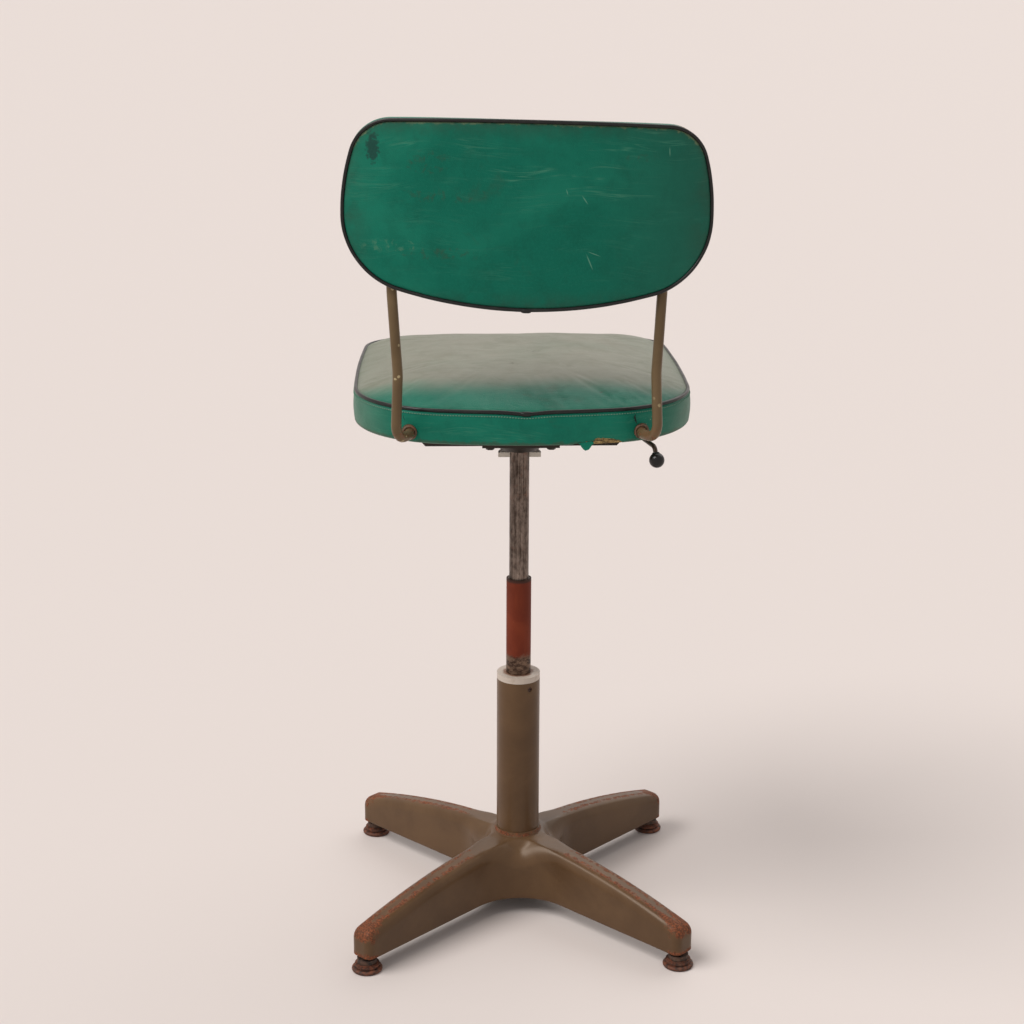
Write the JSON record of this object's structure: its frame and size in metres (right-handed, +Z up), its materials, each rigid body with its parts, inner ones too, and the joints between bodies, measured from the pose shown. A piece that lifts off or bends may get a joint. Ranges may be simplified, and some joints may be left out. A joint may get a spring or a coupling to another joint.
{
  "type": "drafting chair",
  "caption": "Tall drafting chair on a four-leg base with levelling glides, a two-stage column, a swivel vinyl seat and a curved back on two tubes that slide and clamp.",
  "frame": {"origin": "point on the floor under the column axis", "axes": "+Z up along the column, +Y to the back of the chair, +X to the left of a person sitting in it"},
  "size_m": [0.4288, 0.4633, 1.0525],
  "materials": {
    "base_paint": "olive-brown stove enamel, chipped, rust on ridges",
    "nylon": "pale nylon, rust smeared",
    "dark_steel": "oiled dark steel",
    "rusty_steel": "rusted steel",
    "red_oxide": "red oxide primer, bare below",
    "bare_steel": "bare steel, mottled and scratched",
    "black_paint": "black paint",
    "wood": "plywood and beech",
    "foam": "aged foam and wadding",
    "seat_vinyl": "green vinyl faded to grey-beige",
    "green_vinyl": "green vinyl, scratched",
    "black_vinyl": "black vinyl piping",
    "ball_plastic": "black ball knob"
  },
  "bodies": {
    "base": {"base_star": "base_paint", "column_tube": "base_paint", "column_bush": "nylon", "bush_screw": "dark_steel", "foot_stems": "dark_steel", "foot_nuts": "dark_steel"},
    "front_left_foot": {"glide_front_left": "rusty_steel"},
    "front_right_foot": {"glide_front_right": "rusty_steel"},
    "back_left_foot": {"glide_back_left": "rusty_steel"},
    "back_right_foot": {"glide_back_right": "rusty_steel"},
    "middle_stage": {"middle_tube": "red_oxide", "middle_guide": "nylon", "spindle_bush": "bare_steel"},
    "upper_stage": {"spindle": "bare_steel", "spindle_stop": "bare_steel", "spindle_clip": "dark_steel", "horseshoe_clip": "nylon"},
    "seat": {"thrust_washer": "dark_steel", "hub_plate": "black_paint", "plate_bolts": "black_paint", "plate_nuts": "bare_steel", "support_bar_front": "black_paint", "support_bar_rear": "black_paint", "bar_screws": "bare_steel", "cross_rail": "black_paint", "sleeve_left": "rusty_steel", "sleeve_right": "rusty_steel", "clamp_block": "dark_steel", "seat_frame": "wood", "seat_deck": "wood", "seat_foam": "foam", "seat_top_panel": "seat_vinyl", "seat_boxing": "green_vinyl", "seat_piping": "black_vinyl", "boxing_staples": "bare_steel"},
    "back": {"back_tube_left": "base_paint", "back_tube_right": "base_paint", "tube_saddles": "bare_steel", "saddle_screws": "bare_steel", "back_board": "wood", "back_wadding": "foam", "back_foam": "foam", "back_cover": "green_vinyl", "rear_panel": "green_vinyl", "back_piping": "black_vinyl"},
    "lever": {"clamp_screw": "dark_steel", "lever_rod": "dark_steel", "ball_knob": "ball_plastic"}
  },
  "joints": [
    {"name": "middle_slide", "type": "slide", "parent": "base", "child": "middle_stage", "axis": [0, 0, 1], "range_m": [-0.12, 0.03]},
    {"name": "spindle_slide", "type": "slide", "parent": "middle_stage", "child": "upper_stage", "axis": [0, 0, 1], "range_m": [-0.145, 0.03]},
    {"name": "seat_swivel", "type": "hinge", "parent": "upper_stage", "child": "seat", "pos_m": [0, 0, 0.6225], "axis": [0, 0, 1], "continuous": true},
    {"name": "back_slide", "type": "slide", "parent": "seat", "child": "back", "axis": [0, 1, 0], "range_m": [0, 0.06]},
    {"name": "clamp_lever_turn", "type": "hinge", "parent": "seat", "child": "lever", "pos_m": [-0.135, 0.13, 0.674], "axis": [0, 0, 1], "range_deg": [-110, 0]},
    {"name": "front_left_foot_turn", "type": "hinge", "parent": "base", "child": "front_left_foot", "pos_m": [0.19516, -0.19516, 0.005], "axis": [0, 0, 1], "continuous": true},
    {"name": "front_right_foot_turn", "type": "hinge", "parent": "base", "child": "front_right_foot", "pos_m": [-0.19516, -0.19516, 0.005], "axis": [0, 0, 1], "continuous": true},
    {"name": "back_left_foot_turn", "type": "hinge", "parent": "base", "child": "back_left_foot", "pos_m": [0.19516, 0.19516, 0.005], "axis": [0, 0, 1], "continuous": true},
    {"name": "back_right_foot_turn", "type": "hinge", "parent": "base", "child": "back_right_foot", "pos_m": [-0.19516, 0.19516, 0.005], "axis": [0, 0, 1], "continuous": true}
  ]
}
